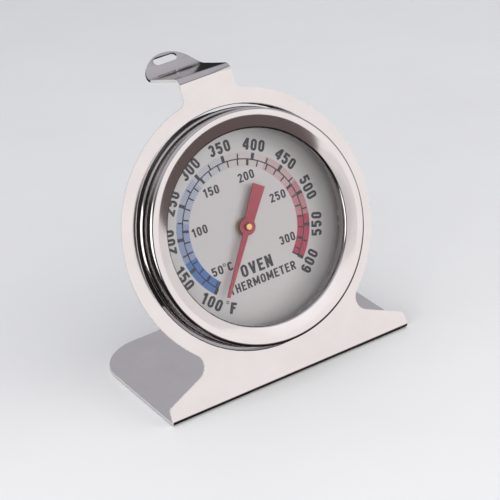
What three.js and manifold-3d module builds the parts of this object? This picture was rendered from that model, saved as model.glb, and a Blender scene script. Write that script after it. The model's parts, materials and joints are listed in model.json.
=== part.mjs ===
// Oven thermometer: a bent sheet stand with a hanging tab, carrying a round bimetal dial gauge.
// Millimetres, +Z up, the dial faces -Y, the stand rests on z = 0.
import * as THREE from 'three';
import { mergeVertices } from 'three/addons/utils/BufferGeometryUtils.js';
import Module from 'manifold-3d';

const wasm = await Module();
wasm.setup();

// ---- driving dimensions ----
const LEAN = THREE.MathUtils.degToRad(19.7); // the face plate leans back from upright
const SHEET = 0.6; // stand sheet thickness
const FOOT_HALF = 31.1; // half width of the foot and of the base plate
const BASE_DEPTH = 38.3; // rear edge of the base plate
const BASE_CORNER = 10.5; // rear corner radius of the base plate
const FOLD_OUT = 0.8; // outside radius of the fold between base and face plate
const RING_R = 30.7; // outer radius of the ring in the face plate
const RING_V = 35.25; // ring centre, measured up the face plate from the fold line
const HOLE_LIP_R = 27.5; // where the face starts to roll into the collar
const COLLAR_R = 26.75; // inside radius of the collar
const COLLAR_DEPTH = 3.2;
const FILLET_R = 3.0; // inside corner between the ring and the foot
const FOOT_TIP = [31.0, 3.95]; // outer upper corner of the foot
const FOOT_SLOPE = 0.433; // fall of the foot's upper edge
const FOOT_TIP_R = 1.3;
const NECK_HALF = 6.5; // half width of the neck and of the tab
const NECK_FILLET = 1.8;
const TAB_V = 69.28; // where the tab starts to bend back
const TAB_BEND = 1.85; // outside radius of the first bend
const TAB_FALL = THREE.MathUtils.degToRad(-17.2); // slope of the tab behind the first bend
const TAB_RUN = 11.3; // length of the falling part
const TAB_VALLEY = 5.2; // upper radius of the valley bend
const TAB_RISE = THREE.MathUtils.degToRad(37); // slope of the tab end
const TAB_END = 2.8; // length of the rising end
const LOBE_R = 6.8; // radius of the tab's rounded end, a little wider than the tab
const SLOT_LONG = 6.0; // hanging slot, across the tab
const SLOT_WIDE = 2.0;
const SLOT_EDGE = 1.75; // slot centre to the tab tip

const BEZEL_R = 26.18; // outside radius of the bezel wall
const BEZEL_FRONT = 5.04; // crest of the bezel, above the face plate
const BEZEL_LIP = 0.75; // outside radius of the crest
const BEAD_R = 0.75; // bead round the bezel wall, level with the plate
const BEAD_OUT = 0.3; // how far the bead stands out of the wall
const OPENING_R = 21.65; // sight opening of the bezel
const OPENING_N = 3.95;
const LENS_R = 24.8;
const DIAL_R = 24.6;
const DIAL_N = -3.2; // dial face, behind the face plate's front
const CASE_R = 24.0;
const CASE_BACK = -12.5;
const SPINDLE_R = 0.6;
const BORE_R = 0.9; // clearance bore round the spindle
const POINTER_N = -1.55; // underside of the pointer
const POINTER_THICK = 0.35;
const POINTER_REST = THREE.MathUtils.degToRad(235); // needle direction at room temperature
const NEEDLE_LENGTH = 16.3;
const TAIL_LENGTH = 9.7;
const COIL_TURNS = 5;
const COIL_IN = 2.1;
const COIL_OUT = 10.6;
const COIL_THICK = 0.4;
const COIL_WIDE = 3.5;
const COIL_N = -10.2; // rear edge of the coil
const POST_R = 11.4; // inner face of the coil's anchor post

const STEEL = { color: 0xd9d2cf, roughness: 0.22, metalness: 1.0 };
const DULL_STEEL = { color: 0xb4b0ae, roughness: 0.42, metalness: 1.0 };
const BRASS = { color: 0xc9974f, roughness: 0.3, metalness: 1.0 };

// ---- helpers ----
function material(options) {
  return new THREE.MeshStandardMaterial(options);
}

function node(name, geometry, options) {
  const mesh = new THREE.Mesh(geometry, material(options));
  mesh.name = name;
  return mesh;
}

function toManifold(geometry) {
  const plain = geometry.clone();
  plain.deleteAttribute('normal');
  plain.deleteAttribute('uv');
  const merged = mergeVertices(plain, 1e-4);
  return new wasm.Manifold(new wasm.Mesh({
    numProp: 3,
    vertProperties: new Float32Array(merged.attributes.position.array),
    triVerts: new Uint32Array(merged.index.array),
  }));
}

function fromManifold(solid) {
  const mesh = solid.getMesh();
  const geometry = new THREE.BufferGeometry();
  const points = [];
  for (let i = 0; i < mesh.vertProperties.length; i += mesh.numProp) {
    points.push(mesh.vertProperties[i], mesh.vertProperties[i + 1], mesh.vertProperties[i + 2]);
  }
  geometry.setAttribute('position', new THREE.Float32BufferAttribute(points, 3));
  geometry.setIndex(Array.from(mesh.triVerts));
  return geometry;
}

function arc(cx, cy, r, from, to, steps) {
  const points = [];
  for (let i = 0; i <= steps; i += 1) {
    const a = from + ((to - from) * i) / steps;
    points.push(new THREE.Vector2(cx + r * Math.cos(a), cy + r * Math.sin(a)));
  }
  return points;
}

function prism(points, depth, holes = []) {
  const shape = new THREE.Shape(points);
  for (const hole of holes) {
    shape.holes.push(new THREE.Path(hole));
  }
  return new THREE.ExtrudeGeometry(shape, { depth, bevelEnabled: false, curveSegments: 24 });
}

// Turned piece about local Z. The profile is [radius, height] pairs, closed on itself or on the axis.
function turned(profile, segments = 72) {
  const points = profile.map(([r, n]) => new THREE.Vector2(r, n));
  const onAxis = profile[0][0] === 0 && profile[profile.length - 1][0] === 0;
  if (!onAxis) {
    points.push(points[0].clone());
  }
  const geometry = new THREE.LatheGeometry(points, segments);
  geometry.rotateX(Math.PI / 2);
  return geometry;
}

function roundedCorner(before, corner, after, radius, steps) {
  const a = before.clone().sub(corner).normalize();
  const b = after.clone().sub(corner).normalize();
  const half = Math.acos(a.dot(b)) / 2;
  const centre = a.clone().add(b).normalize().multiplyScalar(radius / Math.sin(half)).add(corner);
  const start = a.clone().multiplyScalar(radius / Math.tan(half)).add(corner);
  const end = b.clone().multiplyScalar(radius / Math.tan(half)).add(corner);
  const from = Math.atan2(start.y - centre.y, start.x - centre.x);
  let sweep = Math.atan2(end.y - centre.y, end.x - centre.x) - from;
  if (sweep > Math.PI) sweep -= 2 * Math.PI;
  if (sweep < -Math.PI) sweep += 2 * Math.PI;
  return arc(centre.x, centre.y, radius, from, from + sweep, steps);
}

// ---- stand: base plate, fold, face plate with its ring, neck and hanging tab ----

// Right half of the face plate outline, from the fold up to the tab, in plate coordinates.
function faceHalf(bottom) {
  const tip = new THREE.Vector2(...FOOT_TIP);
  const down = new THREE.Vector2(FOOT_HALF, bottom);
  const slope = new THREE.Vector2(-1, FOOT_SLOPE).normalize();
  const inner = tip.clone().addScaledVector(slope, 8);
  const lift = new THREE.Vector2(FOOT_SLOPE, 1).normalize().multiplyScalar(FILLET_R);
  const ring = new THREE.Vector2(0, RING_V);
  const start = tip.clone().add(lift).sub(ring);
  const reach = RING_R + FILLET_R;
  const along = start.dot(slope);
  const t = -along - Math.sqrt(along * along - start.lengthSq() + reach * reach);
  const centre = start.clone().addScaledVector(slope, t).add(ring);
  const touch = centre.clone().sub(lift);
  const onRing = centre.clone().sub(ring).multiplyScalar(RING_R / reach).add(ring);
  const a0 = Math.atan2(touch.y - centre.y, touch.x - centre.x);
  let a1 = Math.atan2(onRing.y - centre.y, onRing.x - centre.x);
  if (a1 > a0) a1 -= 2 * Math.PI;
  const ringFrom = Math.atan2(onRing.y - RING_V, onRing.x);
  const neckX = NECK_HALF + NECK_FILLET;
  const neckY = Math.sqrt((RING_R + NECK_FILLET) ** 2 - neckX ** 2);
  const ringTo = Math.atan2(neckY, neckX);
  const fillet = arc(centre.x, centre.y, FILLET_R, a0, a1, 8);
  const rim = arc(0, RING_V, RING_R, ringFrom, ringTo, 44).slice(1);
  const neck = arc(neckX, RING_V + neckY, NECK_FILLET, ringTo - Math.PI, -Math.PI, 6).slice(1);
  return [down, ...roundedCorner(down, tip, inner, FOOT_TIP_R, 5), ...fillet, ...rim, ...neck];
}

function mirrored(half) {
  const left = half.map((p) => new THREE.Vector2(-p.x, p.y)).reverse();
  return [...half, ...left];
}

// Places geometry drawn in plate coordinates (across, up the plate, out of the face) on the stand.
function ontoPlate(geometry) {
  return geometry.rotateX(Math.PI / 2 - LEAN);
}

function facePlate(bottom) {
  const outline = mirrored([...faceHalf(bottom), new THREE.Vector2(NECK_HALF, TAB_V)]);
  const hole = arc(0, RING_V, (HOLE_LIP_R + RING_R) / 2 - 0.6, 0, 2 * Math.PI, 72).slice(0, -1);
  const geometry = prism(outline, SHEET, [hole]);
  geometry.translate(0, 0, -SHEET);
  return ontoPlate(geometry);
}

// Rolled edge of the ring: the face rolls back into a short collar that holds the gauge.
function collar() {
  const roll = HOLE_LIP_R - COLLAR_R;
  const out = arc(HOLE_LIP_R, -roll, roll, Math.PI / 2, Math.PI, 6).map((p) => [p.x, p.y]);
  const back = arc(HOLE_LIP_R, -roll, roll - SHEET, Math.PI, Math.PI / 2, 5).map((p) => [p.x, p.y]);
  const edge = (HOLE_LIP_R + RING_R) / 2;
  const profile = [
    [edge, 0],
    ...out,
    [COLLAR_R, -COLLAR_DEPTH],
    [COLLAR_R + SHEET, -COLLAR_DEPTH],
    ...back,
    [edge, -SHEET],
  ];
  const geometry = turned(profile, 72);
  geometry.translate(0, RING_V, 0);
  return ontoPlate(geometry);
}

// Extrudes a side profile of [y, z] points across the stand's width.
function sideExtrusion(points, half) {
  const geometry = prism(points.map(([y, z]) => new THREE.Vector2(y, z)), 2 * half);
  geometry.translate(0, 0, -half);
  const m = new THREE.Matrix4().set(0, 0, 1, 0, 1, 0, 0, 0, 0, 1, 0, 0, 0, 0, 0, 1);
  return geometry.applyMatrix4(m);
}

// Base plate with rounded rear corners, and the fold up to the face plate.
function baseAndFold(reach) {
  const turn = Math.PI / 2 + LEAN;
  const tangent = FOLD_OUT * Math.tan(turn / 2);
  const inner = FOLD_OUT - SHEET;
  const from = -Math.PI / 2;
  const outside = arc(tangent, FOLD_OUT, FOLD_OUT, from, from - turn, 9).map((p) => [p.x, p.y]);
  const inside = arc(tangent, FOLD_OUT, inner, from - turn, from, 6).map((p) => [p.x, p.y]);
  const up = [Math.sin(LEAN) * reach, Math.cos(LEAN) * reach];
  const last = outside[outside.length - 1];
  const first = inside[0];
  const side = [
    [BASE_DEPTH, 0],
    ...outside,
    [last[0] + up[0], last[1] + up[1]],
    [first[0] + up[0], first[1] + up[1]],
    ...inside,
    [BASE_DEPTH, SHEET],
  ];
  const strip = toManifold(sideExtrusion(side, FOOT_HALF));
  const right = new THREE.Vector2(FOOT_HALF, BASE_DEPTH);
  const plan = mirrored([
    new THREE.Vector2(FOOT_HALF, -5),
    ...roundedCorner(new THREE.Vector2(FOOT_HALF, 0), right, new THREE.Vector2(0, BASE_DEPTH), BASE_CORNER, 12),
  ]);
  const cutter = prism(plan, 20);
  cutter.translate(0, 0, -5);
  return strip.intersect(toManifold(cutter));
}

// Side profile of the tab's upper surface from the neck to the tip, with its headings.
function tabLine() {
  const line = [];
  let heading = Math.PI / 2 - LEAN;
  let y = TAB_V * Math.sin(LEAN);
  let z = TAB_V * Math.cos(LEAN);
  const put = () => line.push([y, z, heading]);
  const straight = (length) => {
    y += length * Math.cos(heading);
    z += length * Math.sin(heading);
    put();
  };
  const bend = (to, radius, steps) => {
    const step = (to - heading) / steps;
    const chord = 2 * radius * Math.sin(Math.abs(step) / 2);
    for (let i = 0; i < steps; i += 1) {
      y += chord * Math.cos(heading + step / 2);
      z += chord * Math.sin(heading + step / 2);
      heading += step;
      put();
    }
  };
  y -= 0.3 * Math.sin(LEAN);
  z -= 0.3 * Math.cos(LEAN);
  put();
  straight(0.3);
  bend(TAB_FALL, TAB_BEND, 8);
  straight(TAB_RUN);
  bend(TAB_RISE, TAB_VALLEY, 9);
  straight(TAB_END);
  return line;
}

function tab() {
  const line = tabLine();
  const under = line.map(([y, z, h]) => [y + SHEET * Math.sin(h), z - SHEET * Math.cos(h)]);
  const side = [...line.map(([y, z]) => [y, z]), ...under.reverse()];
  const strip = toManifold(sideExtrusion(side, LOBE_R));
  const [ty, tz] = line[line.length - 1];
  const inTab = (geometry) => {
    geometry.translate(0, 0, -15);
    geometry.rotateX(TAB_RISE);
    geometry.translate(0, ty, tz);
    return toManifold(geometry);
  };
  const round = [
    new THREE.Vector2(NECK_HALF, -40),
    new THREE.Vector2(NECK_HALF, -LOBE_R - 3.2),
    new THREE.Vector2((NECK_HALF + LOBE_R) / 2, -LOBE_R - 1.6),
    ...arc(0, -LOBE_R, LOBE_R, 0, Math.PI, 24),
    new THREE.Vector2(-(NECK_HALF + LOBE_R) / 2, -LOBE_R - 1.6),
    new THREE.Vector2(-NECK_HALF, -LOBE_R - 3.2),
    new THREE.Vector2(-NECK_HALF, -40),
  ];
  const straightHalf = (SLOT_LONG - SLOT_WIDE) / 2;
  const slot = [
    ...arc(straightHalf, -SLOT_EDGE, SLOT_WIDE / 2, -Math.PI / 2, Math.PI / 2, 10),
    ...arc(-straightHalf, -SLOT_EDGE, SLOT_WIDE / 2, Math.PI / 2, (3 * Math.PI) / 2, 10),
  ];
  return strip.intersect(inTab(prism(round, 60))).subtract(inTab(prism(slot, 30)));
}

function bracket() {
  const bottom = FOLD_OUT * Math.tan((Math.PI / 2 + LEAN) / 2);
  const solid = toManifold(facePlate(bottom))
    .add(toManifold(collar()))
    .add(baseAndFold(0.3))
    .add(tab());
  return node('bracket', fromManifold(solid), STEEL);
}

// ---- gauge: drawn about local Z, dial axis out of the face ----

function bezel() {
  const crest = BEZEL_R - BEZEL_LIP;
  const beadEnd = Math.acos((BEAD_R - BEAD_OUT) / BEAD_R);
  const bead = arc(BEZEL_R + BEAD_OUT - BEAD_R, -0.5, BEAD_R, -beadEnd, beadEnd, 6).map((p) => [p.x, p.y]);
  const lip = arc(crest, BEZEL_FRONT - BEZEL_LIP, BEZEL_LIP, 0, Math.PI / 2, 6).map((p) => [p.x, p.y]);
  const shoulder = arc(crest, BEZEL_FRONT - 4, 4, Math.PI / 2, Math.PI / 2 + 0.314, 4).map((p) => [p.x, p.y]);
  const profile = [
    ...bead,
    ...lip,
    ...shoulder.slice(1),
    [OPENING_R + 0.25, OPENING_N + 0.13],
    [OPENING_R, OPENING_N - 0.1],
    [OPENING_R + 0.05, 3.5],
    [OPENING_R + 0.4, 3.45],
    [24.5, 4.25],
    [25.2, 4.3],
    [25.58, 3.9],
    [25.58, -4.8],
    [24.35, -4.8],
    [24.35, -5.4],
    [BEZEL_R, -5.4],
  ];
  return node('bezel', turned(profile, 72), STEEL);
}

function lens() {
  const profile = [[0, 0.9], [LENS_R - 0.15, 0.9], [LENS_R, 1.05], [LENS_R, 1.75], [LENS_R - 0.15, 1.9], [0, 1.9]];
  const glass = { color: 0xf4f8f8, roughness: 0.02, metalness: 0, transparent: true, opacity: 0.18 };
  return node('lens', turned(profile, 60), glass);
}

function lensSeal() {
  const profile = [[22.5, 2.2], [24.8, 2.2], [24.8, 2.75], [22.5, 2.75]];
  return node('lens_seal', turned(profile, 60), { color: 0x17120f, roughness: 0.75, metalness: 0 });
}

function spacerRing() {
  const profile = [[23.6, -2.9], [24.6, -2.9], [24.6, 0.6], [23.6, 0.6]];
  return node('spacer_ring', turned(profile, 60), DULL_STEEL);
}

function dialPlate() {
  const profile = [[1.8, -3.6], [DIAL_R, -3.6], [DIAL_R, DIAL_N], [1.8, DIAL_N]];
  return node('dial_plate', turned(profile, 60), { color: 0xbdb8b6, roughness: 0.5, metalness: 0.6 });
}

function dialBush() {
  const profile = [[BORE_R, -4.4], [1.5, -4.4], [1.5, -2.9], [2.15, -2.9], [2.15, -2.5], [2.0, -2.4], [BORE_R, -2.4]];
  return node('dial_bush', turned(profile, 32), BRASS);
}

function caseCup() {
  const floor = CASE_BACK + 0.5;
  const outside = arc(CASE_R - 1.5, CASE_BACK + 1.5, 1.5, 0, -Math.PI / 2, 5).map((p) => [p.x, p.y]);
  const inside = arc(CASE_R - 1.5, CASE_BACK + 1.5, 1.0, -Math.PI / 2, 0, 4).map((p) => [p.x, p.y]);
  const profile = [
    [23.5, -3.9],
    [24.9, -3.9],
    [24.9, -4.5],
    [CASE_R, -4.5],
    ...outside,
    [1.8, CASE_BACK],
    [1.8, floor],
    ...inside,
  ];
  let solid = toManifold(turned(profile.reverse(), 60));
  const drill = (x, y, r) => {
    const hole = prism(arc(x, y, r, 0, 2 * Math.PI, 14).slice(0, -1), 4);
    hole.translate(0, 0, CASE_BACK - 2);
    solid = solid.subtract(toManifold(hole));
  };
  for (let i = 0; i < 6; i += 1) {
    const a = (i * Math.PI) / 3;
    drill(17.5 * Math.cos(a), 17.5 * Math.sin(a), 1.4);
  }
  drill(POST_R - 1.8, 0, 1.1);
  return node('case_cup', fromManifold(solid), STEEL);
}

function rearBush() {
  const profile = [[BORE_R, -13.2], [2.6, -13.2], [2.6, -12.8], [1.5, -12.8], [1.5, -11.2], [BORE_R, -11.2]];
  return node('rear_bush', turned(profile, 32), BRASS);
}

// Flat spiral strip: its eye winds round the arbor, its outer end reaches the anchor post.
function bimetalCoil() {
  const steps = COIL_TURNS * 32;
  const outer = [];
  const inner = [];
  for (let i = 0; i <= steps; i += 1) {
    const a = (i / steps) * COIL_TURNS * 2 * Math.PI;
    const r = COIL_IN + ((COIL_OUT - COIL_IN) * i) / steps;
    outer.push(new THREE.Vector2((r + COIL_THICK / 2) * Math.cos(a), (r + COIL_THICK / 2) * Math.sin(a)));
    inner.push(new THREE.Vector2((r - COIL_THICK / 2) * Math.cos(a), (r - COIL_THICK / 2) * Math.sin(a)));
  }
  const geometry = prism([...outer, ...inner.reverse()], COIL_WIDE);
  geometry.translate(0, 0, COIL_N);
  return node('bimetal_coil', geometry, { color: 0xa9a49c, roughness: 0.35, metalness: 1.0 });
}

// Bent strap: foot on the case floor, post standing beside the coil's outer end.
function coilAnchor() {
  const foot = prism(arc(POST_R - 1.8, 0, 1.8, Math.PI / 2, (3 * Math.PI) / 2, 10)
    .concat([new THREE.Vector2(POST_R + 1.0, -1.8), new THREE.Vector2(POST_R + 1.0, 1.8)]), 0.7,
  [arc(POST_R - 1.8, 0, 1.1, 0, 2 * Math.PI, 14).slice(0, -1).reverse()]);
  foot.translate(0, 0, -11.7);
  const post = new THREE.BoxGeometry(1.0, 3.6, 5.2);
  post.translate(POST_R + 0.5, 0, -9.1);
  return node('coil_anchor', fromManifold(toManifold(foot).add(toManifold(post))), DULL_STEEL);
}

function anchorRivet() {
  const profile = [
    [0, -13.4], [1.0, -13.3], [1.6, -12.8], [0.8, -12.8],
    [0.8, -10.7], [1.45, -10.7], [1.3, -10.4], [0, -10.3],
  ];
  const mesh = node('anchor_rivet', turned(profile, 20), DULL_STEEL);
  mesh.position.set(POST_R - 1.8, 0, 0);
  return mesh;
}

// Red needle: round hub, tapering blade one way, broad tail the other, along local +X at zero.
function pointer() {
  const hub = 1.9;
  const outline = [
    ...arc(0, 0, hub, 0.38, Math.PI - 0.66, 10),
    new THREE.Vector2(-TAIL_LENGTH, 1.52),
    new THREE.Vector2(-TAIL_LENGTH, -1.52),
    ...arc(0, 0, hub, Math.PI + 0.66, 2 * Math.PI - 0.38, 10),
    new THREE.Vector2(NEEDLE_LENGTH - 0.1, -0.36),
    new THREE.Vector2(NEEDLE_LENGTH, -0.26),
    new THREE.Vector2(NEEDLE_LENGTH, 0.26),
    new THREE.Vector2(NEEDLE_LENGTH - 0.1, 0.36),
  ];
  const geometry = prism(outline, POINTER_THICK, [arc(0, 0, 0.95, 0, 2 * Math.PI, 20).slice(0, -1).reverse()]);
  geometry.translate(0, 0, POINTER_N);
  return node('pointer', geometry, { color: 0xb8324a, roughness: 0.45, metalness: 0.1 });
}

function pointerCollar() {
  const profile = [[BORE_R, -2.1], [1.35, -2.1], [1.35, -1.85], [BORE_R, -1.85]];
  return node('pointer_collar', turned(profile, 32), BRASS);
}

function pointerPin() {
  const profile = [[0, -0.9], [0.8, -0.9], [0.78, -0.68], [0.5, -0.5], [0, -0.44]];
  return node('pointer_pin', turned(profile, 28), BRASS);
}

function spindle() {
  const profile = [[0, -12.9], [SPINDLE_R, -12.9], [SPINDLE_R, -1.2], [0, -1.2]];
  return node('spindle', turned(profile, 24), BRASS);
}

function thrustWasher() {
  const profile = [[BORE_R, -5.5], [2.4, -5.5], [2.4, -5.1], [BORE_R, -5.1]];
  return node('thrust_washer', turned(profile, 32), DULL_STEEL);
}

function coilArbor() {
  const profile = [[BORE_R, -10.7], [1.55, -10.7], [1.55, -6.2], [BORE_R, -6.2]];
  return node('coil_arbor', turned(profile, 28), BRASS);
}

function gauge() {
  const group = new THREE.Group();
  group.rotation.x = Math.PI / 2 - LEAN;
  group.position.set(0, RING_V * Math.sin(LEAN), RING_V * Math.cos(LEAN));
  group.add(bezel(), lens(), lensSeal(), spacerRing(), dialPlate(), dialBush(), caseCup(), rearBush());
  group.add(bimetalCoil(), coilAnchor(), anchorRivet(), thrustWasher());
  const needle = new THREE.Group();
  needle.rotation.z = POINTER_REST;
  needle.add(pointer(), pointerCollar(), pointerPin(), spindle(), coilArbor());
  group.add(needle);
  return group;
}

// ---- assembly, with the origin at the middle of the bounding box's bottom ----
const thermometer = new THREE.Group();
thermometer.add(bracket(), gauge());
const box = new THREE.Box3().setFromObject(thermometer, true);
const root = new THREE.Group();
root.name = 'oven_thermometer';
thermometer.position.set(-(box.min.x + box.max.x) / 2, -(box.min.y + box.max.y) / 2, -box.min.z);
root.add(thermometer);

export default root;
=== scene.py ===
import json
import math

import bmesh
import bpy
from mathutils import Matrix, Vector
from mathutils.bvhtree import BVHTree

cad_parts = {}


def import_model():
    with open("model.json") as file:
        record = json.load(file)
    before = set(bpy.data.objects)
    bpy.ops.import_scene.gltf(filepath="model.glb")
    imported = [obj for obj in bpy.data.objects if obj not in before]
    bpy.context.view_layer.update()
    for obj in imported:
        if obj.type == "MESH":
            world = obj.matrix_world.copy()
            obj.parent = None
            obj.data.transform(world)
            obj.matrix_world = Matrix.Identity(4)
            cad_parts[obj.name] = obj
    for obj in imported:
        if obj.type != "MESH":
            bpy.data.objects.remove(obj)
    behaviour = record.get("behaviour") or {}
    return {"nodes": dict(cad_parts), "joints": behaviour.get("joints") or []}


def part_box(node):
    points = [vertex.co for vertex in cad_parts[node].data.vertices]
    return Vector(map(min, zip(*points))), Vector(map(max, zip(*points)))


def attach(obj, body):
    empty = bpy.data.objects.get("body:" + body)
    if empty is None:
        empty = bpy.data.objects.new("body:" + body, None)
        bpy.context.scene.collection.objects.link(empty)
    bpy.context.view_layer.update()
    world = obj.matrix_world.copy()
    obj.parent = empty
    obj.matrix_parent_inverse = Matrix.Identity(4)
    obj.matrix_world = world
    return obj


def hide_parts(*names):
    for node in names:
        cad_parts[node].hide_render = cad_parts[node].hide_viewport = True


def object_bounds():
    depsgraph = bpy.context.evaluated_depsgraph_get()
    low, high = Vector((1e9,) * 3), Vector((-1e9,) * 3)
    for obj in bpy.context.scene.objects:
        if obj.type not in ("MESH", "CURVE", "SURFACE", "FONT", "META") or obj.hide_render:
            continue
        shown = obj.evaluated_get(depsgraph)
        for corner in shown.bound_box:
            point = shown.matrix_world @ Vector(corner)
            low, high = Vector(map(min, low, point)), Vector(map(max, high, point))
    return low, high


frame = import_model()
CAD_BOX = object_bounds()

MM = 0.001
WELD = 1e-6  # metres: corners closer than this are one corner
NEEDLE_AREA, NEEDLE_LONG = 0.01, 1.0  # square millimetres and millimetres: smaller and longer is a needle

# ---- gauge frame: millimetres, X across, Y up the face, Z out of the dial ----
JOINT = frame["joints"][0]
DIAL_AXIS = -Vector(JOINT["axis"]).normalized()
UP_FACE = DIAL_AXIS.cross(Vector((1, 0, 0))).normalized()
GAUGE = Matrix.Translation(Vector(JOINT["pos_m"])) @ Matrix((
    (1, UP_FACE.x, DIAL_AXIS.x, 0),
    (0, UP_FACE.y, DIAL_AXIS.y, 0),
    (0, UP_FACE.z, DIAL_AXIS.z, 0),
    (0, 0, 0, 1),
)) @ Matrix.Scale(MM, 4)
LEAN = math.atan2(UP_FACE.y, UP_FACE.z)

# ---- dimensions in millimetres, mostly the CAD's. Heights are along the dial's axis, from the plate ----
SHEET = 0.6  # the stand's sheet thickness
LIP_R, LIP_BEND = 27.5, 0.75  # outer radius and bend radius of the lip round the ring's hole
LIP_EDGE, LIP_OFF = 0.02, 0.03  # how far past the lip's edges, and off its arc, a corner still belongs to it
COLLAR_LOW = -4.5  # nothing of the collar is lower
LIP_SHIFT = 0.45  # how much tighter the lip is drawn, and how far out the collar moves to meet it
CUT_DEPTH = 2.2 * SHEET  # a face with more metal than this behind it is a cut edge of the sheet
BEZEL_R, BEZEL_IN, BEZEL_REAR = 26.18, 25.58, -5.4  # outside and inside of the wall, and its rear edge
GLASS_R, GLASS_LOW, GLASS_TOP = 24.8, 0.9, 1.9
DIAL_R, DIAL_BACK, DIAL_N = 24.6, -3.6, -3.2  # radius, rear face and printed face of the dial
HUB_R, BORE_R = 1.8, 0.9  # hole in the dial, and clearance bore round the spindle
PIN_R = 0.78  # head of the pointer's pin
RIM_STEPS, DIAL_STEPS, GLASS_STEPS = 192, 160, 128  # sides of the large turned pieces
BUSH_STEPS, PIN_STEPS, RIVET_STEPS = 64, 48, 40  # and of the small ones

# ---- dial print, millimetres ----
PRINT_TURN = 1.0  # degrees: the printed dial sits slightly turned in its case
PRINT_LIFT = 0.012  # the bands' top and the figures' underside, above the dial's face
INK_THICK = 0.02
INK_N = DIAL_N + PRINT_LIFT + INK_THICK  # top of the printed figures
STROKE_LIFT = 0.001  # crossing strokes and marks lie at slightly different heights
BAND_THICK = 0.008
ARC_R, ARC_WIDE = 15.0, 0.27
BAND_IN, BAND_OUT = 13.4, 16.5
FIGURES_R = 18.3  # middle of the Fahrenheit figures
MARK_OUT, MARK_IN = 16.2, 13.6  # ends of the small Fahrenheit marks and of the Celsius marks
F_START, F_STEP_DEG = 225.0, 0.54  # angle of 100 F, and degrees of arc per degree F


def srgb(r, g, b):
    """Linear colour from 0-255 display values."""
    def lin(c):
        c = c / 255
        return c / 12.92 if c <= 0.04045 else ((c + 0.055) / 1.055) ** 2.4
    return (lin(r), lin(g), lin(b), 1.0)


# ---------------------------------------------------------------- node helpers

class Tree:
    """Small wrapper that builds a material's nodes."""

    def __init__(self, name):
        self.mat = bpy.data.materials.new(name)
        self.mat.use_nodes = True
        self.nodes = self.mat.node_tree.nodes
        self.links = self.mat.node_tree.links
        self.shader = self.nodes["Principled BSDF"]
        self.out = self.nodes["Material Output"]

    def new(self, kind, **sockets):
        node = self.nodes.new(kind)
        for key, value in sockets.items():
            node.inputs[key.replace("_", " ")].default_value = value
        return node

    def link(self, a, b):
        self.links.new(a, b)

    def coords(self, scale=(1, 1, 1), gauge=False):
        """Object coordinates in millimetres, in the gauge's frame if asked, then stretched."""
        tex = self.new("ShaderNodeTexCoord")
        place = self.new("ShaderNodeMapping")
        place.vector_type = "TEXTURE" if gauge else "POINT"
        if gauge:
            place.inputs["Location"].default_value = Vector(JOINT["pos_m"])
            place.inputs["Rotation"].default_value = (math.pi / 2 - LEAN, 0, 0)
            place.inputs["Scale"].default_value = (MM, MM, MM)
        else:
            place.inputs["Scale"].default_value = (1 / MM, 1 / MM, 1 / MM)
        stretch = self.new("ShaderNodeMapping", Scale=scale)
        self.link(tex.outputs["Object"], place.inputs["Vector"])
        self.link(place.outputs["Vector"], stretch.inputs["Vector"])
        return stretch.outputs["Vector"]

    def rings(self, across, along):
        """Coordinates that vary with radius and height only, for turned marks round the gauge."""
        split = self.new("ShaderNodeSeparateXYZ")
        self.link(self.coords(gauge=True), split.inputs[0])
        flat = self.new("ShaderNodeCombineXYZ")
        self.link(split.outputs["X"], flat.inputs["X"])
        self.link(split.outputs["Y"], flat.inputs["Y"])
        size = self.new("ShaderNodeVectorMath")
        size.operation = "LENGTH"
        self.link(flat.outputs[0], size.inputs[0])
        made = self.new("ShaderNodeCombineXYZ")
        self.link(self.times(size.outputs["Value"], across), made.inputs["X"])
        self.link(self.times(split.outputs["Z"], along), made.inputs["Y"])
        return made.outputs[0]

    def times(self, socket, factor):
        node = self.new("ShaderNodeMath")
        node.operation = "MULTIPLY"
        self.link(socket, node.inputs[0])
        node.inputs[1].default_value = factor
        return node.outputs[0]

    def noise(self, vector, scale, detail=4, rough=0.55):
        node = self.new("ShaderNodeTexNoise", Scale=scale, Detail=detail, Roughness=rough)
        self.link(vector, node.inputs["Vector"])
        return node.outputs["Fac"]

    def span(self, socket, low, high, frm=(0.3, 0.7)):
        node = self.new("ShaderNodeMapRange")
        node.inputs["From Min"].default_value = frm[0]
        node.inputs["From Max"].default_value = frm[1]
        node.inputs["To Min"].default_value = low
        node.inputs["To Max"].default_value = high
        self.link(socket, node.inputs["Value"])
        return node.outputs["Result"]

    def blend(self, fac, a, b):
        node = self.new("ShaderNodeMix")
        node.data_type = "RGBA"
        for index, value in ((6, a), (7, b)):
            if isinstance(value, tuple):
                node.inputs[index].default_value = value
            else:
                self.link(value, node.inputs[index])
        self.link(fac, node.inputs[0])
        return node.outputs[2]

    def bump(self, height, distance, strength=1.0, before=None):
        node = self.new("ShaderNodeBump", Strength=strength, Distance=distance)
        self.link(height, node.inputs["Height"])
        if before is not None:
            self.link(before, node.inputs["Normal"])
        self.link(node.outputs["Normal"], self.shader.inputs["Normal"])
        return node.outputs["Normal"]


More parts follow.
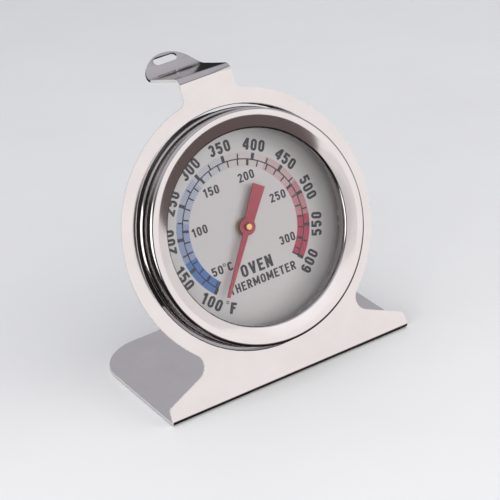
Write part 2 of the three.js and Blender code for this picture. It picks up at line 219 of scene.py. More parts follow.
def metal(name, light, dark, rough, grain, marks="sheet", bump=0.0006, smudge=0.12, metallic=1.0):
    """Bare metal: slow colour and gloss changes, fine rolling or turning marks, and smudges."""
    t = Tree(name)
    s = t.shader
    s.inputs["Metallic"].default_value = metallic
    cloud = t.noise(t.coords(), smudge, 5, 0.6)
    if marks == "turned":
        fine = t.noise(t.rings(grain, grain), 1.0, 3, 0.6)
    else:
        fine = t.noise(t.coords(scale=(0.12 * grain, grain, grain)), 1.0, 3, 0.6)
    speck = t.noise(t.coords(), 3.0, 2, 0.5)
    t.link(t.blend(t.span(cloud, 0, 1), light, dark), s.inputs["Base Color"])
    mixed = t.new("ShaderNodeMath")
    mixed.operation = "ADD"
    t.link(t.span(cloud, rough[0], rough[1]), mixed.inputs[0])
    t.link(t.span(fine, -0.02, 0.03), mixed.inputs[1])
    t.link(mixed.outputs[0], s.inputs["Roughness"])
    first = t.bump(fine, bump * MM * 10, 0.35)
    t.bump(speck, bump * MM * 6, 0.2, first)
    return t.mat


def ink(name, colour, paper, cover=1.0):
    """Screen-printed ink. Below full cover it is a halftone of small dots on the dial's own colour."""
    t = Tree(name)
    s = t.shader
    s.inputs["Specular IOR Level"].default_value = 0.3
    grain = t.noise(t.coords(), 5.0, 3)
    tone = t.blend(t.span(grain, 0, 1), colour, tuple(c * 0.86 for c in colour[:3]) + (1.0,))
    if cover < 1:
        dots = t.new("ShaderNodeTexVoronoi", Scale=3.2, Randomness=0.0)
        t.link(t.coords(gauge=True, scale=(1, 1, 0)), dots.inputs["Vector"])
        edge = 0.62 * math.sqrt(cover)
        tone = t.blend(t.span(dots.outputs["Distance"], 1, 0, (edge - 0.12, edge + 0.12)), paper, tone)
    t.link(tone, s.inputs["Base Color"])
    t.link(t.span(grain, 0.48, 0.62), s.inputs["Roughness"])
    t.bump(grain, 0.004 * MM, 0.3)
    return t.mat


def dial_paint(name, light, dark, metallic=0.12):
    """Silver-grey dial lacquer: fine metallic flake with a soft sheen."""
    t = Tree(name)
    s = t.shader
    s.inputs["Metallic"].default_value = metallic
    flake = t.noise(t.coords(), 14.0, 2, 0.7)
    cloud = t.noise(t.coords(), 0.09, 3)
    base = t.blend(t.span(flake, 0, 1, (0.2, 0.8)), light, dark)
    t.link(t.blend(t.span(cloud, 0, 0.25), base, dark), s.inputs["Base Color"])
    t.link(t.span(flake, 0.42, 0.56), s.inputs["Roughness"])
    t.bump(flake, 0.003 * MM, 0.3)
    return t.mat


def enamel(name, colour, edge_highlight_colour):
    """Glossy paint on sheet metal, paler along its edges: a painted highlight on the edges."""
    t = Tree(name)
    s = t.shader
    s.inputs["Coat Weight"].default_value = 0.15
    s.inputs["Coat Roughness"].default_value = 0.2
    s.inputs["Specular IOR Level"].default_value = 0.3
    grain = t.noise(t.coords(), 2.4, 4)
    shape = t.new("ShaderNodeNewGeometry")
    # painted highlight: the paint turns paler on convex edges, whatever the light
    painted_edge_highlight = t.span(shape.outputs["Pointiness"], 0, 0.5, (0.52, 0.60))
    body = t.blend(t.span(grain, 0, 1), colour, tuple(c * 0.85 for c in colour[:3]) + (1.0,))
    t.link(t.blend(painted_edge_highlight, body, edge_highlight_colour), s.inputs["Base Color"])
    t.link(t.span(grain, 0.30, 0.42), s.inputs["Roughness"])
    t.bump(grain, 0.01 * MM, 0.25)
    return t.mat


def rubber(name, colour):
    t = Tree(name)
    s = t.shader
    grain = t.noise(t.coords(), 6.0, 4)
    t.link(t.blend(t.span(grain, 0, 1), colour, tuple(c * 1.6 for c in colour[:3]) + (1.0,)),
           s.inputs["Base Color"])
    t.link(t.span(grain, 0.6, 0.85), s.inputs["Roughness"])
    t.bump(grain, 0.02 * MM, 0.4)
    return t.mat


def clear_glass(name):
    """Thin flat glass: see-through, with a weak reflection that grows at a slant."""
    t = Tree(name)
    t.nodes.remove(t.shader)
    dust = t.noise(t.coords(), 0.35, 5, 0.65)
    see = t.new("ShaderNodeBsdfTransparent")
    see.inputs["Color"].default_value = (0.985, 0.99, 0.988, 1.0)
    gloss = t.new("ShaderNodeBsdfGlossy")
    t.link(t.span(dust, 0.015, 0.04), gloss.inputs["Roughness"])
    fresnel = t.new("ShaderNodeFresnel", IOR=1.35)
    mix = t.new("ShaderNodeMixShader")
    t.link(fresnel.outputs[0], mix.inputs[0])
    t.link(see.outputs[0], mix.inputs[1])
    t.link(gloss.outputs[0], mix.inputs[2])
    t.link(mix.outputs[0], t.out.inputs["Surface"])
    return t.mat


PAPER = srgb(206, 200, 201)
STEEL = metal(
    "stand_steel", (0.64, 0.59, 0.585, 1), (0.60, 0.555, 0.55, 1), (0.085, 0.12), 9.0, bump=0.0002)
SHEARED_STEEL = metal(
    "sheared_steel", (0.86, 0.83, 0.82, 1), (0.78, 0.75, 0.74, 1), (0.42, 0.55), 16.0, bump=0.001,
    metallic=0.4)
BEZEL_STEEL = metal(
    "bezel_steel", (0.65, 0.60, 0.595, 1), (0.61, 0.565, 0.56, 1), (0.10, 0.13), 26.0, "turned", 0.00012)
CASE_STEEL = metal(
    "case_steel", (0.58, 0.555, 0.54, 1), (0.50, 0.475, 0.465, 1), (0.24, 0.34), 14.0, "turned", 0.001)
DULL_STEEL = metal(
    "dull_steel", (0.52, 0.50, 0.49, 1), (0.43, 0.41, 0.40, 1), (0.32, 0.45), 12.0, "turned", 0.001)
BIMETAL = metal("bimetal", (0.60, 0.54, 0.45, 1), (0.48, 0.42, 0.36, 1), (0.28, 0.4), 10.0)
BRASS = metal("brass", (0.86, 0.56, 0.25, 1), (0.74, 0.44, 0.18, 1), (0.2, 0.3), 22.0, "turned", 0.001)
BUSH_BRASS = metal(
    "bush_brass", (0.66, 0.46, 0.30, 1), (0.56, 0.38, 0.24, 1), (0.45, 0.6), 22.0, "turned", 0.001)
PIN_BRASS = metal(
    "pin_brass", (0.95, 0.62, 0.24, 1), (0.88, 0.54, 0.18, 1), (0.32, 0.42), 30.0, "turned", 0.0006)
SPACER_ALLOY = metal(
    "spacer_alloy", (0.82, 0.80, 0.79, 1), (0.74, 0.72, 0.71, 1), (0.20, 0.28), 20.0, "turned", 0.0004,
    metallic=0.75)
DIAL_PAINT = dial_paint("dial_paint", srgb(212, 206, 207), srgb(198, 192, 193))
INK_DARK = ink("ink_dark", srgb(58, 54, 62), PAPER)
# the second colour is the painted highlight along the pointer's edges
POINTER_RED = enamel("pointer_red", srgb(168, 38, 61), srgb(188, 92, 109))
LIP_RING_BLACK = rubber("lip_ring_black", (0.012, 0.010, 0.010, 1))
GLASS = clear_glass("clear_glass")


# ---------------------------------------------------------------- mesh helpers

def shade(bm, sharp_deg):
    """Smooth faces, with the edges over sharp_deg kept crisp."""
    limit = math.radians(sharp_deg)
    for f in bm.faces:
        f.smooth = True
    for e in bm.edges:
        if len(e.link_faces) == 2:
            e.smooth = e.calc_face_angle(0.0) < limit


def piece(name, bm, mat, body, slot, *nodes, sharp=34):
    """Turns a bmesh in metres into a piece that rides on a body and stands for CAD nodes."""
    bmesh.ops.recalc_face_normals(bm, faces=bm.faces)
    shade(bm, sharp)
    mesh = bpy.data.meshes.new(name)
    bm.to_mesh(mesh)
    bm.free()
    obj = bpy.data.objects.new(name, mesh)
    bpy.context.scene.collection.objects.link(obj)
    mesh.materials.append(mat)
    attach(obj, body)
    if nodes:
        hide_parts(*nodes)
    return obj


def drop_needles(bm):
    """Merges away the long thin triangles that a bevel leaves at a spare corner inside a flat face."""
    for f in list(bm.faces):
        if not f.is_valid or len(f.verts) != 3 or f.calc_area() > NEEDLE_AREA * MM * MM:
            continue
        if max(e.calc_length() for e in f.edges) < NEEDLE_LONG * MM:
            continue
        tip = min(f.verts, key=lambda v: len(v.link_edges))
        nearest = min((e for e in f.edges if tip in e.verts), key=lambda e: e.calc_length())
        away = nearest.other_vert(tip)
        bmesh.ops.pointmerge(bm, verts=[tip, away], merge_co=away.co.copy())


def refined(name, node, mat, body, slot, bevel, segments=2, corner=32, shape=None, flat=15.0):
    """The CAD node's own shape, with merged flat faces and softly rounded edges.

    Edges over corner degrees are rounded. Faces over flat square millimetres keep a flat look.
    """
    bm = bmesh.new()
    bm.from_mesh(frame["nodes"][node].data)
    bmesh.ops.remove_doubles(bm, verts=bm.verts, dist=WELD)
    if shape:
        shape(bm)
    bmesh.ops.dissolve_limit(bm, angle_limit=math.radians(0.6), verts=bm.verts, edges=bm.edges)
    limit = math.radians(corner)
    edges = [e for e in bm.edges if len(e.link_faces) == 2 and e.calc_face_angle(0.0) > limit]
    bmesh.ops.bevel(bm, geom=edges, offset=bevel * MM, segments=segments, profile=0.5,
                    affect="EDGES", clamp_overlap=True)
    drop_needles(bm)
    low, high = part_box(node)
    for v in bm.verts:
        v.co = [min(max(c, a), b) for c, a, b in zip(v.co, low, high)]
    obj = piece(name, bm, mat, body, slot, node)
    steady(obj.data, flat)
    return obj


def tight_lip(bm):
    """Tightens the rolled lip of the ring's hole, and moves the collar out to meet it."""
    back = GAUGE.inverted()
    for v in bm.verts:
        p = back @ v.co
        r = math.hypot(p.x, p.y)
        if r > LIP_R + LIP_EDGE or p.z < COLLAR_LOW:
            continue
        new_r, n = r + LIP_SHIFT, p.z
        off_arc = abs(math.hypot(r - LIP_R, p.z + LIP_BEND) - LIP_BEND)
        if off_arc < LIP_OFF and p.z > -LIP_BEND - LIP_EDGE:
            scale = (LIP_BEND - LIP_SHIFT) / LIP_BEND
            new_r, n = LIP_R + (r - LIP_R) * scale, p.z * scale
        v.co = GAUGE @ Vector((p.x * new_r / r, p.y * new_r / r, n))


def steady(mesh, flat, blend_deg=32):
    """Keeps faces over flat square millimetres flat, and blends the small faces beside them into them."""
    large = [f.area > flat * MM * MM for f in mesh.polygons]
    beside = {}
    for f in mesh.polygons:
        if large[f.index]:
            for v in f.vertices:
                beside.setdefault(v, []).append(f.normal.copy())
    normals = [corner.vector.copy() for corner in mesh.corner_normals]
    limit = math.cos(math.radians(blend_deg))
    for f in mesh.polygons:
        for corner in f.loop_indices:
            if large[f.index]:
                normals[corner] = f.normal.copy()
                continue
            near = [n for n in beside.get(mesh.loops[corner].vertex_index, ()) if n.dot(f.normal) > limit]
            if near:
                normals[corner] = max(near, key=f.normal.dot)
    mesh.normals_split_custom_set(normals)


def sheared(obj, mat):
    """Gives the sheet's cut edges their own finish: the faces with more metal behind them than a sheet."""
    mesh = obj.data
    mesh.materials.append(mat)
    mesh.calc_loop_triangles()
    tree = BVHTree.FromPolygons([v.co for v in mesh.vertices], [f.vertices for f in mesh.polygons])
    behind = {}
    for t in mesh.loop_triangles:
        normal = mesh.polygons[t.polygon_index].normal
        middle = sum((mesh.vertices[v].co for v in t.vertices), Vector()) / 3
        hit = tree.ray_cast(middle - normal * 0.01 * MM, -normal)
        behind[t.polygon_index] = min(hit[3] or 0.0, behind.get(t.polygon_index, 1.0))
    for index, depth in behind.items():
        if depth > CUT_DEPTH * MM:
            mesh.polygons[index].material_index = 1


def oval(cx, cy, rx, ry, a0, a1, steps=10):
    """Points on part of an ellipse, angles in degrees."""
    out = []
    for i in range(steps + 1):
        a = math.radians(a0 + (a1 - a0) * i / steps)
        out.append((cx + rx * math.cos(a), cy + ry * math.sin(a)))
    return out


def arc(cx, cy, r, a0, a1, steps):
    """Points on part of a circle, angles in degrees."""
    return oval(cx, cy, r, r, a0, a1, steps)


def turned(profile, segments, across=0.0):
    """Closed solid of revolution from (radius, height) points. across moves its axis off the gauge's."""
    bm = bmesh.new()
    rings = []
    for r, n in profile:
        if r < 1e-6:
            rings.append([bm.verts.new(GAUGE @ Vector((across, 0, n)))])
            continue
        ring = []
        for i in range(segments):
            a = 2 * math.pi * i / segments
            p = Vector((across + r * math.cos(a), r * math.sin(a), n))
            ring.append(bm.verts.new(GAUGE @ p))
        rings.append(ring)
    closed = profile[0][0] > 1e-6 or profile[-1][0] > 1e-6
    for k in range(len(rings) if closed else len(rings) - 1):
        a, b = rings[k], rings[(k + 1) % len(rings)]
        for i in range(segments):
            j = (i + 1) % segments
            if len(a) == 1:
                bm.faces.new((a[0], b[i], b[j]))
            elif len(b) == 1:
                bm.faces.new((a[i], b[0], a[j]))
            else:
                bm.faces.new((a[i], b[i], b[j], a[j]))
    return bm


def prism(bm, top, thick):
    """Adds a closed flat plate. top is a list of gauge points (x, y, n) round its upper face."""
    up = [bm.verts.new(GAUGE @ Vector(p)) for p in top]
    low = [bm.verts.new(GAUGE @ Vector((p[0], p[1], p[2] - thick))) for p in top]
    count = len(top)
    bm.faces.new(up)
    bm.faces.new(low[::-1])
    for i in range(count):
        j = (i + 1) % count
        bm.faces.new((up[j], up[i], low[i], low[j]))


def sector(bm, r0, r1, a0, a1, n, thick):
    """Adds a closed annular sector, angles in degrees."""
    steps = max(1, int(abs(a1 - a0) / 2.0))
    for i in range(steps):
        b0 = a0 + (a1 - a0) * i / steps
        b1 = a0 + (a1 - a0) * (i + 1) / steps
        inner = arc(0, 0, r0, b0, b1, 1)
        outer = arc(0, 0, r1, b1, b0, 1)
        prism(bm, [(x, y, n) for x, y in inner + outer], thick)


# ---------------------------------------------------------------- gauge pieces

def bezel():
    """Rim: up the beaded wall, over the lip, down the cone to the window, and back along the inside."""
    bead = arc(25.40, -0.45, 1.2, -49.5, 49.5, 16)
    lip = arc(25.43, 4.29, 0.747, 0, 90, 12)
    shoulder = arc(25.43, 1.04, 4.0, 90, 108, 8)[1:]
    roll = arc(22.30, 3.53, 0.65, 108, 215, 14)
    profile = [(BEZEL_R - 0.12, BEZEL_REAR), (BEZEL_R, BEZEL_REAR + 0.12)] + bead + lip + shoulder + roll
    profile += [(22.1, 3.08), (22.6, 3.25), (24.5, 4.25), (25.2, 4.3), (BEZEL_IN, 3.9), (BEZEL_IN, -4.8)]
    profile += [(24.35, -4.8), (24.35, BEZEL_REAR + 0.08), (24.43, BEZEL_REAR)]  # edge crimped round the case
    piece("bezel_rim", turned(profile, RIM_STEPS), BEZEL_STEEL, "body", "bezel_steel", "bezel")


def glass():
    edge = [(GLASS_R - 0.2, GLASS_LOW), (GLASS_R, GLASS_LOW + 0.15)]
    edge += [(GLASS_R, GLASS_TOP - 0.15), (GLASS_R - 0.2, GLASS_TOP)]
    profile = [(0, GLASS_LOW)] + edge + [(0, GLASS_TOP)]
    piece("front_glass", turned(profile, GLASS_STEPS), GLASS, "body", "clear_glass", "lens", sharp=25)


# A black ring under the bezel's lip, along the window's edge, where a dark line shows round the window.
def seal():
    profile = [(22.15, 2.2)] + arc(24.55, 2.45, 0.25, -90, 0, 4) + arc(24.55, 2.5, 0.25, 0, 90, 4)
    profile += arc(22.37, 2.53, 0.22, 90, 180, 4)
    piece("black_lip_ring", turned(profile, GLASS_STEPS), LIP_RING_BLACK, "body", "black_seal", "lens_seal")


def spacer():
    """Inner wall between glass and dial, with a rounded foot that catches a thin line of light."""
    foot = arc(23.62, -2.72, 0.2, 90, 270, 10)
    profile = [(DIAL_R, -2.92), (DIAL_R, 0.6), (DIAL_R - 0.2, 0.62), (23.75, 0.62), (23.6, 0.5)] + foot
    piece("spacer", turned(profile, DIAL_STEPS), SPACER_ALLOY, "body", "dull_steel", "spacer_ring", sharp=40)


def dial():
    outside = [(DIAL_R - 0.1, DIAL_BACK), (DIAL_R, DIAL_BACK + 0.1), (DIAL_R, DIAL_N - 0.06)]
    face = [(DIAL_R - 0.08, DIAL_N), (HUB_R + 0.06, DIAL_N), (HUB_R, DIAL_N - 0.06)]
    profile = [(HUB_R, DIAL_BACK)] + outside + face
    piece("dial_disc", turned(profile, DIAL_STEPS), DIAL_PAINT, "body", "dial_aluminium", "dial_plate")


def bush():
    profile = [(BORE_R, -4.4), (1.5, -4.4), (1.5, -2.9), (2.1, -2.9)]
    profile += arc(1.93, -2.64, 0.22, 0, 90, 5) + [(1.2, -2.42), (1.05, -2.5), (BORE_R, -2.55)]
    piece("hub_bush", turned(profile, BUSH_STEPS), BUSH_BRASS, "body", "brass", "dial_bush")


def pin():
    profile = [(0, -0.9), (PIN_R, -0.9), (PIN_R, -0.62)] + arc(PIN_R - 0.16, -0.62, 0.16, 15, 90, 5)
    profile += [(0.3, -0.45), (0, -0.45)]
    piece("pointer_pin_head", turned(profile, PIN_STEPS), PIN_BRASS, "movement", "brass", "pointer_pin",
          sharp=60)


def rivet():
    """Rivet of the coil's anchor: a domed head behind the case, the shank, and the clenched inner end."""
    box_lo, box_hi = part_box("anchor_rivet")
    at = GAUGE.inverted() @ ((box_lo + box_hi) / 2)
    seat = -12.8
    head = [(0, seat - 0.6)] + oval(0, seat, 1.6, 0.6, -75, 0, 5)
    profile = head + [(0.8, seat), (0.8, -10.7), (1.45, -10.7), (1.3, -10.4), (0, -10.3)]
    bm = turned(profile, RIVET_STEPS, at.x)
    piece("rivet", bm, DULL_STEEL, "body", "dull_steel", "anchor_rivet", sharp=45)


# ---------------------------------------------------------------- dial print

def glyph(ch, w, t):
    """Strokes of a plain condensed character one unit high and w wide: pairs of (closed, points)."""
    m = t / 2
    right, mid, top = w - m, w / 2, 1 - m
    rx = (w - t) / 2
    ry = rx * 1.2
    bowl = 0.27 - m / 2
    waist = (top - 0.5) / 2

    def line(*points):
        return (False, list(points))

    loop = oval(mid, top - ry, rx, ry, 0, 180) + oval(mid, m + ry, rx, ry, 180, 360)
    stem, post = line((m, 0), (m, 1)), line((right, 0), (right, 1))
    roof, sill = line((0, top), (w, top)), line((0, m), (w, m))
    shapes = {
        "0": [(True, loop)],
        "O": [(True, loop)],
        "1": [line((0.66 * w, 0), (0.66 * w, 1)), line((0.66 * w, 0.93), (0.16 * w, 0.74))],
        "2": [line(*oval(mid, top - ry, rx, ry, 172, -28), (m + 0.02, m + 0.02)), sill],
        "3": [line(*oval(mid, top - bowl, rx, bowl, 165, -90)),
              line(*oval(mid, m + bowl, rx, bowl, 90, -165))],
        "4": [line((0.72 * w, 0), (0.72 * w, 1)), line((0.66 * w, 0.97), (0.10 * w, 0.30)),
              line((0, 0.27), (w, 0.27))],
        "5": [line((m, top), (0.94 * w, top)), line((m + 0.01, 1), (m, 0.48)),
              line(*oval(mid, m + 0.255, rx, 0.255, 128, -165))],
        "6": [(True, oval(mid, m + 0.25, rx, 0.25, 0, 342, 18)),
              line((m, m + 0.25), *oval(mid, top - ry, rx, ry, 180, 12))],
        "C": [line(*oval(mid, top - ry, rx, ry, 5, 180), *oval(mid, m + ry, rx, ry, 180, 355))],
        "F": [stem, roof, line((0, 0.54), (0.84 * w, 0.54))],
        "E": [stem, roof, line((0, 0.52), (0.86 * w, 0.52)), sill],
        "T": [line((mid, 0), (mid, 1)), roof],
        "H": [stem, post, line((m, 0.5), (right, 0.5))],
        "N": [stem, post, line((m, 0.96), (right, 0.04))],
        "V": [line((0.8 * m, 1), (mid, 0.03)), line((w - 0.8 * m, 1), (mid, 0.03))],
        "R": [stem, line((m, top), (mid, top), *oval(mid, 0.5 + waist, rx, waist, 90, -90), (m, 0.5)),
              line((mid, 0.5), (right, 0))],
        "M": [stem, post, line((m, 0.95), (mid, 0.2)), line((right, 0.95), (mid, 0.2))],
    }
    return shapes[ch]


# widths against the other characters
WIDE = {"M": 1.35, "1": 0.86, "F": 0.9, "E": 0.9, "T": 0.95}


def ribbon(bm, points, closed, thick, place, n):
    """Adds a stroke of constant width along points, as one closed plate."""
    count = len(points)
    sides = []
    for i in range(count):
        before = points[i - 1] if closed or i > 0 else None
        after = points[(i + 1) % count] if closed or i < count - 1 else None
        here = Vector(points[i])
        d0 = (here - Vector(before)).normalized() if before else None
        d1 = (Vector(after) - here).normalized() if after else None
        d = ((d0 or d1) + (d1 or d0)).normalized()
        side = Vector((-d.y, d.x))
        ref = d0 or d1
        widen = 1 / max(0.5, side.dot(Vector((-ref.y, ref.x))))
        sides.append((here + side * thick / 2 * widen, here - side * thick / 2 * widen))
    spans = range(count if closed else count - 1)
    for i in spans:
        j = (i + 1) % count
        corner = [sides[i][0], sides[i][1], sides[j][1], sides[j][0]]
        prism(bm, [(*place(p), n) for p in corner], INK_THICK)


def write(bm, text, height, width, centre, angle, stroke=0.19, ratio=0.5, gap=0.14):
    """Writes text centred on a dial point. angle is the baseline's direction in degrees."""
    cells = [(ch, ratio * WIDE.get(ch, 1.0)) for ch in text]
    total = sum(w for _, w in cells) + gap * (len(cells) - 1)
    kx = width / total
    turn = math.radians(angle)
    c, s = math.cos(turn), math.sin(turn)
    x = 0.0
    step = 0
    for ch, w in cells:
        for closed, points in glyph(ch, w, stroke):
            def place(p, x=x):
                px = (x + p[0] - total / 2) * kx
                py = (p[1] - 0.5) * height
                return (centre[0] + px * c - py * s, centre[1] + px * s + py * c)
            ribbon(bm, points, closed, stroke, place, INK_N + STROKE_LIFT * (step % 7))
            step += 1
        x += w + gap


def angle_f(f):
    """Direction of a Fahrenheit reading, in degrees from the dial's right-hand side."""
    return F_START - F_STEP_DEG * (f - 100) + PRINT_TURN


def tick(bm, r0, r1, width, angle):
    """Adds a straight mark from one radius to another."""
    a = math.radians(angle)
    along, side = Vector((math.cos(a), math.sin(a))), Vector((-math.sin(a), math.cos(a))) * width / 2
    corner = [along * r0 + side, along * r0 - side, along * r1 - side, along * r1 + side]
    prism(bm, [(p.x, p.y, INK_N + 8 * STROKE_LIFT) for p in corner], INK_THICK)


def degree_ring(bm, x, y):
    """Small ring that stands for the degree sign."""
    ribbon(bm, arc(x, y, 0.29, 0, 342, 18), True, 0.17, lambda p: p, INK_N)


def scale_print():
    """Scale arc, ticks, figures and the two plain words, in dark ink."""
    bm = bmesh.new()
    half = ARC_WIDE / 2
    sector(bm, ARC_R - half, ARC_R + half, angle_f(100), angle_f(600), INK_N + 9 * STROKE_LIFT, INK_THICK)
    for f in range(100, 601, 25):
        strong = f % 50 == 0
        tick(bm, ARC_R, BAND_OUT if strong else MARK_OUT, 0.75 if strong else 0.34, angle_f(f))
    for c in range(40, 311, 10):
        strong = c % 50 == 0
        tick(bm, MARK_IN, ARC_R, 0.6 if strong else 0.33, angle_f(c * 1.8 + 32))
    for f in (100, 600):
        tick(bm, BAND_IN, BAND_OUT, 0.36, angle_f(f))
    for f in range(100, 601, 50):
        a = angle_f(f)
        inward = f in (100, 150, 550, 600)
        at = (FIGURES_R * math.cos(math.radians(a)), FIGURES_R * math.sin(math.radians(a)))
        write(bm, str(f), 2.65, 5.35, at, a + 90 if inward else a - 90, stroke=0.20)
    write(bm, "F", 2.6, 1.45, (-8.2, -16.3), 243.3 + 90, stroke=0.22)
    degree_ring(bm, -9.1, -14.6)
    for words, x, y, width in (
        ("50", -9.25, -7.2, 2.8), ("C", -6.0, -7.2, 1.25), ("100", -10.6, 2.6, 3.9),
        ("150", -5.2, 10.0, 3.95), ("200", 4.0, 10.5, 4.05), ("250", 10.1, 3.8, 4.05),
        ("300", 9.4, -6.0, 4.05),
    ):
        write(bm, words, 2.0, width, (x, y), PRINT_TURN, stroke=0.185)
    degree_ring(bm, -7.3, -6.45)
    write(bm, "OVEN", 2.8, 8.1, (0.2, -9.3), PRINT_TURN, stroke=0.185)
    write(bm, "THERMOMETER", 2.0, 17.3, (0.85, -12.4), PRINT_TURN, stroke=0.175)
    piece("dial_print", bm, INK_DARK, "body", "dial_aluminium")


def colour_bands():
    """Cold to hot bands under the scale, printed as steps of halftone."""
    blue, red = srgb(78, 118, 180), srgb(184, 60, 86)
    # name, ink, share of the area inked, and the angles where the band starts and ends
    bands = (
        ("blue_1", blue, 1.0, 225.0, 190.0), ("blue_2", blue, 0.55, 190.0, 158.0),
        ("blue_3", blue, 0.34, 158.0, 121.0), ("blue_4", blue, 0.16, 121.0, 90.0),
        ("red_1", red, 0.09, 90.0, 51.0), ("red_2", red, 0.30, 51.0, 19.5),
        ("red_3", red, 0.58, 19.5, -9.25), ("red_4", red, 1.0, -9.25, -45.0),
    )
    for name, colour, cover, a0, a1 in bands:
        bm = bmesh.new()
        sector(bm, BAND_IN, BAND_OUT, a0 + PRINT_TURN, a1 + PRINT_TURN, DIAL_N + PRINT_LIFT, BAND_THICK)
        mat = ink("ink_" + name, colour, PAPER, cover)
        piece("dial_band_" + name, bm, mat, "body", "dial_aluminium")


# ---------------------------------------------------------------- build the object

bezel()
glass()
seal()
spacer()
dial()
bush()
pin()
rivet()
scale_print()
colour_bands()
stand = refined("stand", "bracket", STEEL, "body", "stand_steel", 0.07, shape=tight_lip)
sheared(stand, SHEARED_STEEL)
refined("case_shell", "case_cup", CASE_STEEL, "body", "case_steel", 0.06, flat=80.0)
refined("red_pointer", "pointer", POINTER_RED, "movement", "pointer_red", 0.07)
refined("back_bush", "rear_bush", BRASS, "body", "brass", 0.05)

for node, mat in (
    ("pointer_collar", BRASS), ("spindle", BRASS), ("coil_arbor", BRASS), ("thrust_washer", DULL_STEEL),
    ("bimetal_coil", BIMETAL), ("coil_anchor", DULL_STEEL),
):
    slots = frame["nodes"][node].data.materials
    slots.clear()
    slots.append(mat)


# ---------------------------------------------------------------- studio

MIDDLE = (CAD_BOX[0] + CAD_BOX[1]) / 2
FLOOR_R, FLOOR_GAP = 1.6, 0.0002
KEY_FROM, KEY_TO, KEY_SIDE_TO = -2.5, 50.5, 78.0  # degrees: the key light, and its dimmer side part
KEY_LOW, KEY_TOP, KEY_AWAY = -0.045, 0.65, 0.62  # metres: its lower and upper edge, and its distance
FILL_AWAY = 0.7
FEATHER_WIDE, FEATHER_LEVELS = 4.0, (1.05, 0.85, 0.62, 0.40, 0.20)  # the key's soft left edge, in steps
GLOW_LEVEL, GLOW_TINT, GLOW_FLOOR = 0.155, (1.0, 0.77, 0.76), -0.40  # dim brown table under the key
CAM_AZ, CAM_EL, CAM_ROLL = math.radians(-27.99), math.radians(27.76), math.radians(-7.45)
CAM_DISTANCE = 0.429
CAM_LENS = 140.7
CAM_AIM = Vector((-0.00223, -0.01181, 0.02925))


def toward(azimuth, elevation):
    """Unit vector from the object to a place round it, angles in radians. Azimuth 0 is straight in front."""
    flat = math.cos(elevation)
    return Vector((math.sin(azimuth) * flat, -math.cos(azimuth) * flat, math.sin(elevation)))


def panel(name, target, azimuth, elevation, distance, width, height, radiance, glossy=True):
    """A soft rectangular light facing the target. radiance is its brightness as seen from the front."""
    light = bpy.data.lights.new(name, "AREA")
    light.shape = "RECTANGLE"
    light.size, light.size_y = width, height
    light.energy = radiance * math.pi * width * height
    obj = bpy.data.objects.new(name, light)
    bpy.context.scene.collection.objects.link(obj)
    back = toward(math.radians(azimuth), math.radians(elevation))
    obj.location = target + back * distance
    obj.rotation_mode = "QUATERNION"
    obj.rotation_quaternion = (-back).to_track_quat("-Z", "Y")
    obj.visible_camera = False
    obj.visible_glossy = glossy
    return obj


def softbox(name, azimuth_0, azimuth_1, low, high, distance, radiance):
    """An upright panel round the object, from one azimuth to another and from one height to another."""
    middle, half = (azimuth_0 + azimuth_1) / 2, math.radians(azimuth_1 - azimuth_0) / 2
    width = 2 * distance * math.tan(half)
    centre = Vector((MIDDLE.x, MIDDLE.y, (low + high) / 2))
    return panel(name, centre, middle, 0, distance, width, high - low, radiance)


def world():
    """Dark studio in front, grey dome behind and overhead, black just under the rear horizon."""
    w = bpy.data.worlds.new("studio")
    bpy.context.scene.world = w
    w.use_nodes = True
    nodes, links = w.node_tree.nodes, w.node_tree.links
    tex = nodes.new("ShaderNodeTexCoord")
    split = nodes.new("ShaderNodeSeparateXYZ")
    half = nodes.new("ShaderNodeMapRange")
    half.inputs["From Min"].default_value = -1.0
    links.new(tex.outputs["Generated"], split.inputs[0])
    links.new(split.outputs["Z"], half.inputs["Value"])

    def ramp(stops):
        node = nodes.new("ShaderNodeValToRGB")
        while len(node.color_ramp.elements) < len(stops):
            node.color_ramp.elements.new(0.5)
        for element, (at, value) in zip(node.color_ramp.elements, stops):
            element.position = at
            element.color = (value * 0.95, value * 0.98, value * 1.06, 1.0)
        links.new(half.outputs["Result"], node.inputs["Fac"])
        return node.outputs["Color"]

    front = ramp(((0.0, 0.01), (0.5, 0.015), (0.78, 0.03), (0.93, 0.62), (1.0, 0.68)))
    rear = ramp(((0.0, 0.015), (0.53, 0.03), (0.56, 0.30), (0.735, 0.60), (1.0, 0.68)))
    side = nodes.new("ShaderNodeMapRange")
    side.inputs["From Min"].default_value = -0.2
    side.inputs["From Max"].default_value = 0.3
    links.new(split.outputs["Y"], side.inputs["Value"])
    mix = nodes.new("ShaderNodeMix")
    mix.data_type = "RGBA"
    links.new(side.outputs["Result"], mix.inputs[0])
    links.new(front, mix.inputs[6])
    links.new(rear, mix.inputs[7])
    links.new(mix.outputs[2], nodes["Background"].inputs["Color"])


def floor():
    """Pale matt disc just under the base plate, left out of mirror reflections to keep the steel's tones."""
    bm = bmesh.new()
    bmesh.ops.create_circle(bm, cap_ends=True, segments=96, radius=FLOOR_R)
    mesh = bpy.data.meshes.new("floor")
    bm.to_mesh(mesh)
    bm.free()
    obj = bpy.data.objects.new("floor", mesh)
    bpy.context.scene.collection.objects.link(obj)
    obj.location.z = -FLOOR_GAP
    t = Tree("floor_paint")
    grain = t.noise(t.coords(), 0.02, 3)
    tone = t.blend(t.span(grain, 0, 1), (0.80, 0.79, 0.785, 1), (0.77, 0.76, 0.755, 1))
    t.link(tone, t.shader.inputs["Base Color"])
    t.link(t.span(grain, 0.55, 0.7), t.shader.inputs["Roughness"])
    mesh.materials.append(t.mat)
    obj.visible_glossy = False


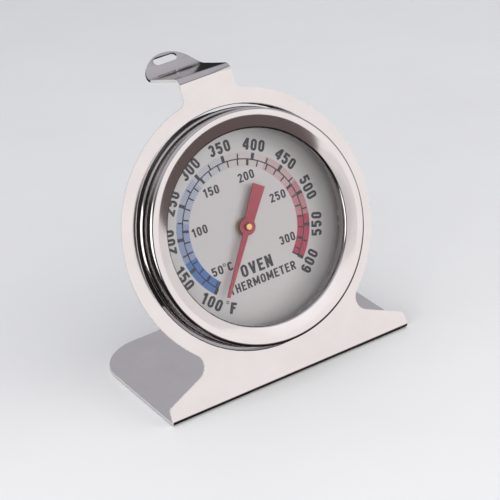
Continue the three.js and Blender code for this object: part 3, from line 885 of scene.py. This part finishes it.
def camera():
    """Long lens from the left and above, a little rolled, as in the photograph."""
    back = toward(CAM_AZ, CAM_EL)
    right = Vector((math.cos(CAM_AZ), math.sin(CAM_AZ), 0))
    up = back.cross(right)
    c, s = math.cos(CAM_ROLL), math.sin(CAM_ROLL)
    x_axis = right * c + up * s
    y_axis = up * c - right * s
    data = bpy.data.cameras.new("camera")
    data.sensor_width = 36.0
    data.lens = CAM_LENS
    data.clip_start, data.clip_end = 0.01, 10.0
    cam = bpy.data.objects.new("camera", data)
    bpy.context.scene.collection.objects.link(cam)
    cam.rotation_mode = "QUATERNION"
    cam.rotation_quaternion = Matrix((x_axis, y_axis, back)).transposed().to_quaternion()
    cam.location = CAM_AIM + back * CAM_DISTANCE
    bpy.context.scene.camera = cam


world()
floor()
softbox("key", KEY_FROM, KEY_TO, KEY_LOW, KEY_TOP, KEY_AWAY, 1.27)
feather_end = KEY_FROM
for step, level in enumerate(FEATHER_LEVELS):
    start = feather_end
    feather_end -= FEATHER_WIDE
    softbox("key_feather_%d" % step, feather_end, start, KEY_LOW, KEY_TOP, KEY_AWAY, level)
softbox("key_side", KEY_TO, KEY_SIDE_TO, KEY_LOW, KEY_TOP, KEY_AWAY, 1.02)
for name, left, right in (("table_glow", KEY_FROM, KEY_SIDE_TO), ("table_glow_left", feather_end, KEY_FROM)):
    softbox(name, left, right, GLOW_FLOOR, KEY_LOW, KEY_AWAY, GLOW_LEVEL).data.color = GLOW_TINT
softbox("left_strip", -116.0, -50.0, -0.02, 0.42, 0.6, 2.3)
# lights for the matt surfaces only: azimuth, elevation, distance, width, height and brightness
panel("shaper", MIDDLE, 44, 9, FILL_AWAY, 0.26, 0.26, 3.9, glossy=False)
panel("left_fill", MIDDLE, -48, 16, FILL_AWAY, 0.5, 0.3, 2.8, glossy=False)
panel("front_fill", MIDDLE, 2, 32, FILL_AWAY, 0.8, 0.5, 0.95, glossy=False)
panel("overhead", MIDDLE, 10, 82, 0.9, 0.9, 0.9, 0.6, glossy=False)
camera()
bpy.context.scene.view_settings.view_transform = "Standard"

bpy.context.view_layer.update()
